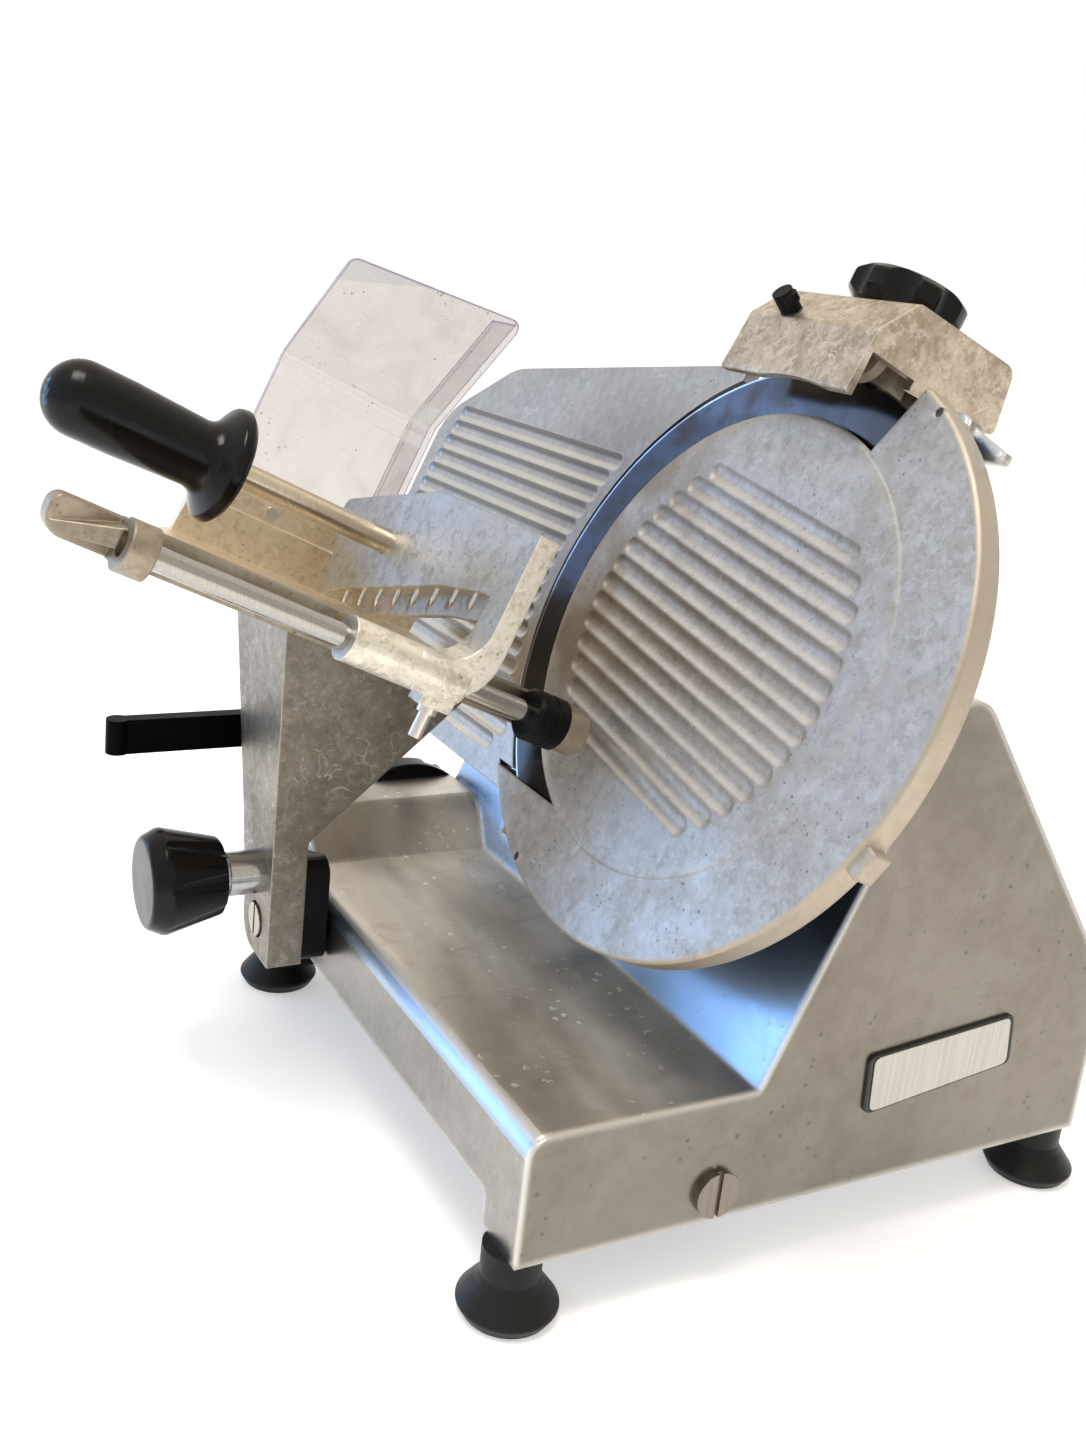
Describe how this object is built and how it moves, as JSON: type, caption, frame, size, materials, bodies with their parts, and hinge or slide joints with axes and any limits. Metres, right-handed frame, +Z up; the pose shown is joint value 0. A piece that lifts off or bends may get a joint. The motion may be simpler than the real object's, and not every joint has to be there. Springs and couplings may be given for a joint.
{
  "type": "electric food slicer",
  "caption": "Gravity-feed electric food slicer: cast base and motor housing, tilted round blade with a fluted cover, sliding food carriage with pusher, gauge plate, dial and sharpener.",
  "frame": {"origin": "centre of the whole machine's box, on the table", "axes": "+X towards the food side, -Y towards the operator, +Z up"},
  "size_m": [0.4495, 0.4565, 0.3991],
  "materials": {
    "cast_aluminium": "satin cast with fine wear marks",
    "cover_cast": "mottled raw cast with a bright rim",
    "gauge_cast": "satin, fine ribs",
    "tan_cast": "satin cast, warm tint",
    "pusher_cast": "brushed cast",
    "blade_steel": "polished, dark reflections",
    "polished_steel": "polished",
    "champagne_steel": "satin",
    "screw_steel": "satin",
    "bearing_steel": "bright",
    "sheet_steel": "plain sheet",
    "pulley_iron": "machined",
    "bronze": "machined bronze",
    "motor_paint": "dull grey paint",
    "black_phenolic": "moulded phenolic, soft gloss",
    "black_plastic": "moulded plastic",
    "green_plastic": "moulded plastic",
    "red_plastic": "moulded plastic",
    "black_rubber": "moulded rubber",
    "clear_acrylic": "clear sheet",
    "abrasive": "bonded grit"
  },
  "bodies": {
    "base": {"body": "cast_aluminium", "bottom_cover": "sheet_steel", "cover_plate_screws": "screw_steel", "foot_1": "black_rubber", "foot_2": "black_rubber", "foot_3": "black_rubber", "foot_4": "black_rubber", "foot_studs": "screw_steel", "guide_rod": "polished_steel", "guide_plug": "screw_steel", "shaft_bearings": "bearing_steel", "drive_belt": "black_rubber", "motor": "motor_paint", "motor_mount": "sheet_steel", "blade_cover": "cover_cast", "cover_screws": "screw_steel", "slice_deflector": "polished_steel", "switch_plate": "black_plastic", "cable_gland": "black_plastic", "sharpener_post": "polished_steel"},
    "blade_group": {"blade": "blade_steel", "blade_hub": "polished_steel", "hub_screws": "screw_steel", "blade_pulley": "pulley_iron"},
    "motor_rotor": {"motor_shaft": "polished_steel", "motor_pulley": "pulley_iron"},
    "carriage": {"slide_block": "black_plastic", "slide_bushes": "bronze", "carriage_arm": "tan_cast", "arm_screw": "screw_steel", "push_lever": "black_phenolic", "tray": "tan_cast", "tray_screws": "screw_steel", "hand_guard": "clear_acrylic", "guard_rivets": "screw_steel"},
    "carriage_lock": {"lock_knob": "black_phenolic", "lock_collar": "polished_steel"},
    "pusher_pivot": {"pusher_rod": "polished_steel", "rod_bumper": "black_rubber"},
    "pusher_group": {"pusher": "pusher_cast", "gripper_strip": "pusher_cast", "gripper_pins": "screw_steel", "pusher_stop": "screw_steel", "handle_rod": "champagne_steel", "handle_grip": "black_phenolic"},
    "gauge": {"gauge_plate": "gauge_cast", "gauge_rods": "polished_steel", "gauge_carrier": "pulley_iron"},
    "dial": {"thickness_dial": "black_phenolic", "dial_shaft": "polished_steel"},
    "start": {"start_button": "green_plastic"},
    "stop": {"stop_button": "red_plastic"},
    "sharpener": {"sharpener_cover": "tan_cast", "stone_pins": "screw_steel"},
    "sharpener_knob": {"star_knob": "black_phenolic"},
    "stone_press": {"sharpener_button": "black_plastic"},
    "grinder": {"grinding_stone": "abrasive"},
    "hone": {"honing_stone": "abrasive"}
  },
  "joints": [
    {"name": "blade_spin", "type": "hinge", "parent": "base", "child": "blade_group", "pos_m": [-0.03678, 0.09175, 0.239], "axis": [0.9205, 0, 0.3907], "continuous": true},
    {"name": "motor_spin", "type": "hinge", "parent": "base", "child": "motor_rotor", "pos_m": [0.00033, 0.09175, 0.15155], "axis": [0.9205, 0, 0.3907], "continuous": true},
    {"name": "carriage_slide", "type": "slide", "parent": "base", "child": "carriage", "axis": [0, 1, 0], "range_m": [0, 0.2]},
    {"name": "lock_turn", "type": "hinge", "parent": "carriage", "child": "carriage_lock", "pos_m": [0.11021, -0.03175, 0.097], "axis": [1, 0, 0], "range_deg": [0, 350]},
    {"name": "pusher_swing", "type": "hinge", "parent": "carriage", "child": "pusher_pivot", "pos_m": [-0.01334, 0.05875, 0.18377], "axis": [-0.9205, 0, -0.3907], "range_deg": [0, 32]},
    {"name": "pusher_slide", "type": "slide", "parent": "pusher_pivot", "child": "pusher_group", "axis": [0.9205, 0, 0.3907], "range_m": [-0.025, 0.074]},
    {"name": "gauge_slide", "type": "slide", "parent": "base", "child": "gauge", "axis": [-0.9205, 0, -0.3907], "range_m": [0, 0.014]},
    {"name": "dial_turn", "type": "hinge", "parent": "base", "child": "dial", "pos_m": [-0.00279, -0.11325, 0.07], "axis": [0, -1, 0], "range_deg": [0, 300]},
    {"name": "start_press", "type": "slide", "parent": "base", "child": "start", "axis": [0, 1, 0], "range_m": [0, 0.003], "stiffness_N_per_m": 600},
    {"name": "stop_press", "type": "slide", "parent": "base", "child": "stop", "axis": [0, 1, 0], "range_m": [0, 0.003], "stiffness_N_per_m": 600},
    {"name": "sharpener_lift", "type": "slide", "parent": "base", "child": "sharpener", "axis": [-0.3907, 0, 0.9205], "range_m": [0, 0.03]},
    {"name": "star_turn", "type": "hinge", "parent": "sharpener", "child": "sharpener_knob", "pos_m": [-0.11562, 0.08775, 0.3761], "axis": [-0.3907, 0, 0.9205], "range_deg": [0, 350]},
    {"name": "sharpener_press", "type": "slide", "parent": "sharpener", "child": "stone_press", "axis": [-0.6626, 0, -0.749], "range_m": [0, 0.003], "stiffness_N_per_m": 600},
    {"name": "grind_spin", "type": "hinge", "parent": "sharpener", "child": "grinder", "pos_m": [-0.09849, 0.06775, 0.35621], "axis": [0.9205, 0, 0.3907], "continuous": true},
    {"name": "hone_spin", "type": "hinge", "parent": "sharpener", "child": "hone", "pos_m": [-0.0856, 0.10975, 0.36168], "axis": [0.9205, 0, 0.3907], "continuous": true}
  ],
  "couplings": [
    {"joint": "motor_spin", "follows": "blade_spin", "ratio": 2.8},
    {"joint": "dial_turn", "follows": "gauge_slide", "rad_per_m": 374}
  ]
}
